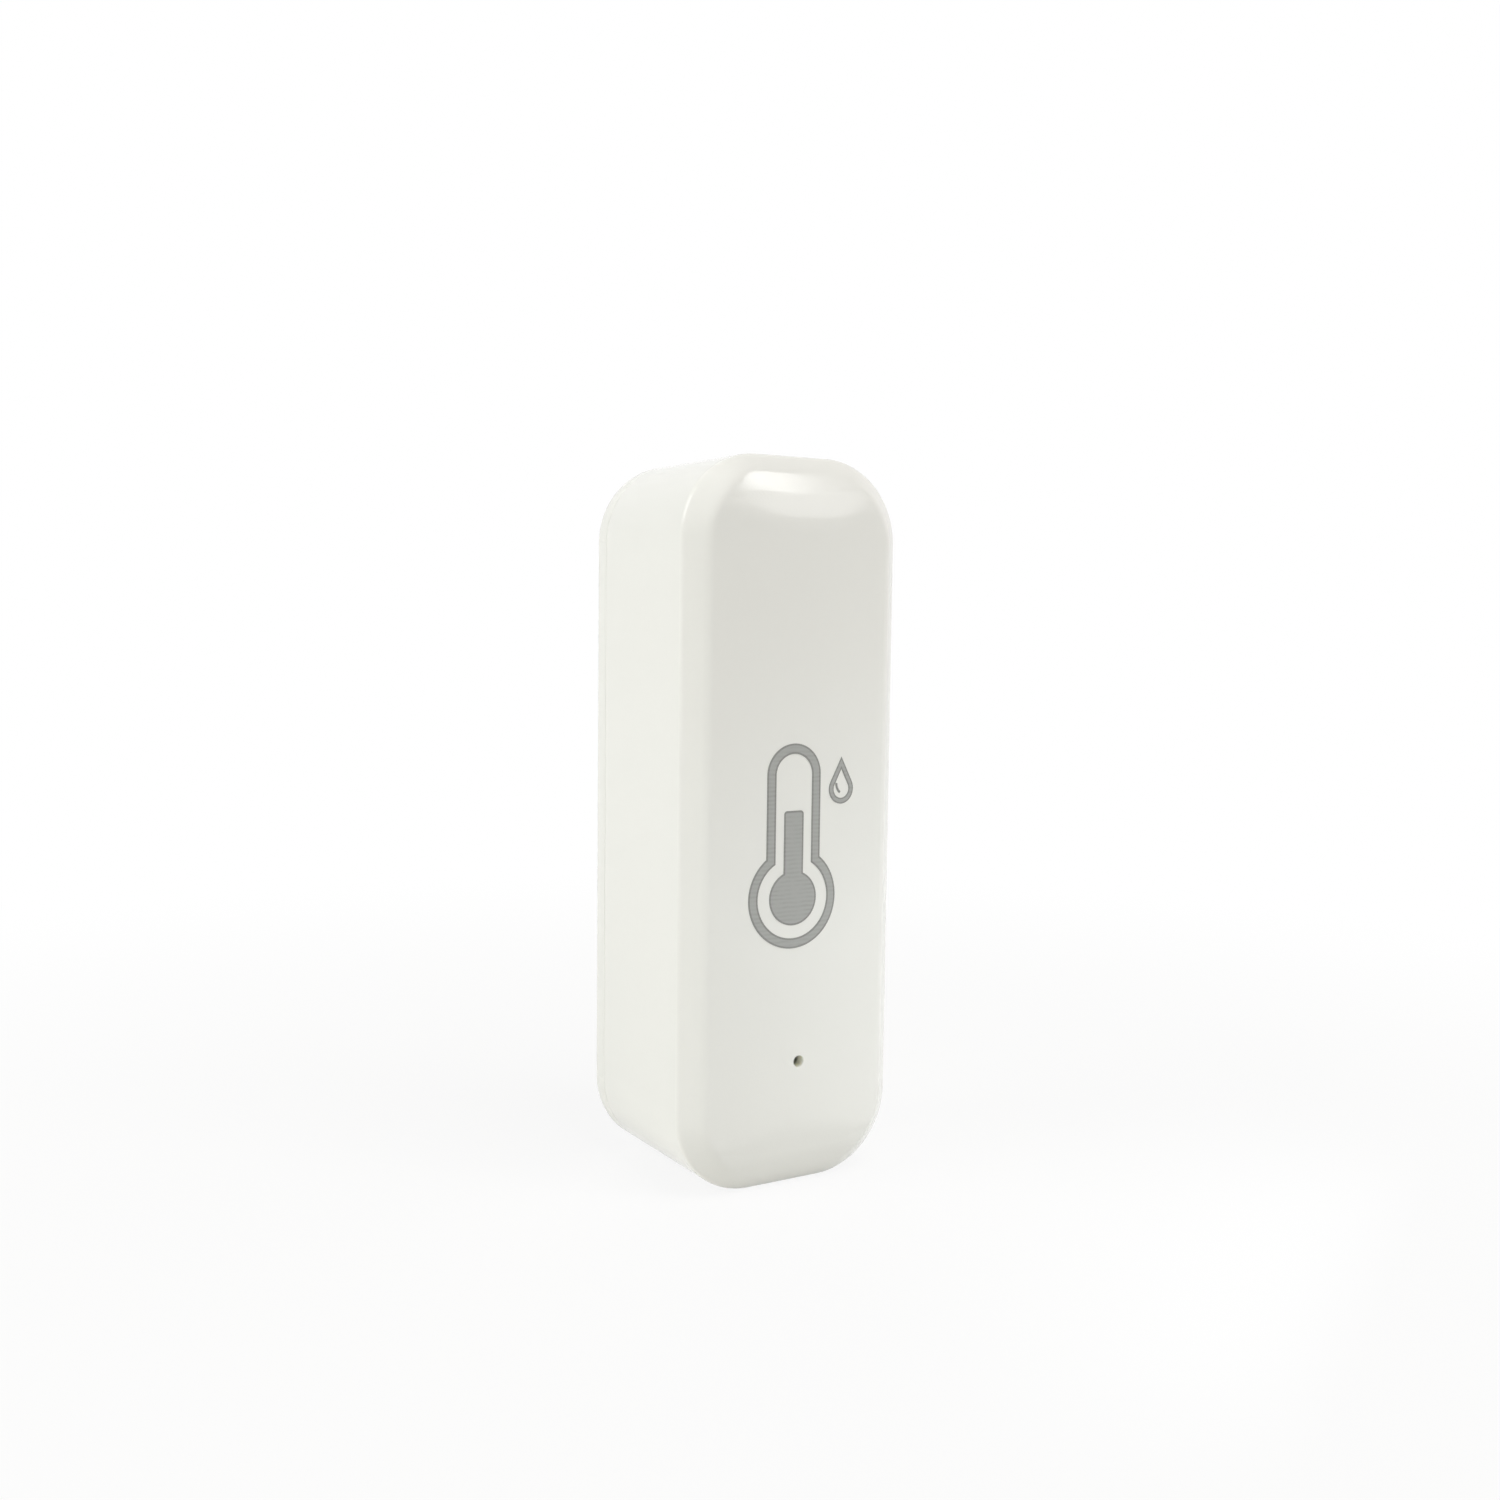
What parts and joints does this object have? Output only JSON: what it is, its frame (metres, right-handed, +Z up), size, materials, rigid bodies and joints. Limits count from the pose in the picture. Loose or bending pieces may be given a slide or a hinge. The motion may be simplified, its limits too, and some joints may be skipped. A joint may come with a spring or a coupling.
{
  "type": "temperature humidity sensor",
  "caption": "Small upright white plastic bar that senses air temperature and humidity, with a crowned front, a pin hole for its reset switch and a pull-off back over its cells.",
  "frame": {"origin": "under the middle of the whole object, on the surface it stands on", "axes": "+Z up along the bar, +Y out of the back, +X to the right seen from the front"},
  "size_m": [0.0244, 0.021, 0.072],
  "materials": {
    "case_white": "satin moulded",
    "pad_foam": "foam",
    "tray_grey": "moulded",
    "board_green": "solder mask",
    "board_blue": "solder mask",
    "shield_steel": "tin plated",
    "copper_gold": "gold plated",
    "chip_black": "moulded",
    "membrane_white": "fine woven",
    "plunger_white": "moulded",
    "led_clear": "clear cast",
    "contact_nickel": "nickel plated",
    "spring_nickel": "nickel plated wire",
    "cell_metal": "drawn",
    "cap_metal": "nickel plated",
    "seal_black": "moulded",
    "sleeve_film": "printed film",
    "screw_steel": "zinc plated",
    "capacitor_orange": "moulded",
    "ferrite_grey": "sintered",
    "chip_brown": "ceramic",
    "mark_grey": "printed"
  },
  "bodies": {
    "case": {"front_shell": "case_white", "battery_tray": "tray_grey", "main_board": "board_green", "radio_board": "board_blue", "radio_shield": "shield_steel", "radio_antenna": "copper_gold", "humidity_sensor": "chip_black", "sensor_membrane": "membrane_white", "switch_base": "chip_black", "switch_frame": "shield_steel", "switch_dome": "copper_gold", "status_led": "led_clear", "positive_plate": "contact_nickel", "negative_plate": "contact_nickel", "bridge_plate": "contact_nickel", "negative_spring": "spring_nickel", "bridge_spring": "spring_nickel", "cell_a_can": "cell_metal", "cell_a_cap": "cap_metal", "cell_a_seal": "seal_black", "cell_a_sleeve": "sleeve_film", "cell_b_can": "cell_metal", "cell_b_cap": "cap_metal", "cell_b_seal": "seal_black", "cell_b_sleeve": "sleeve_film", "case_screws": "screw_steel", "storage_capacitor": "capacitor_orange", "power_inductor": "ferrite_grey", "crystal_can": "shield_steel", "chip_parts": "chip_brown", "thermometer_mark": "mark_grey", "drop_mark": "mark_grey"},
    "cover": {"back_cover": "case_white", "adhesive_pad": "pad_foam"},
    "plunger": {"reset_plunger": "plunger_white"}
  },
  "joints": [
    {"name": "cover_pull", "type": "slide", "parent": "case", "child": "cover", "axis": [0, 1, 0], "range_m": [0, 0.035]},
    {"name": "reset_press", "type": "slide", "parent": "case", "child": "plunger", "axis": [0, 1, 0], "range_m": [0, 0.00025], "stiffness_N_per_m": 4000, "deforming": ["switch_dome"]}
  ]
}
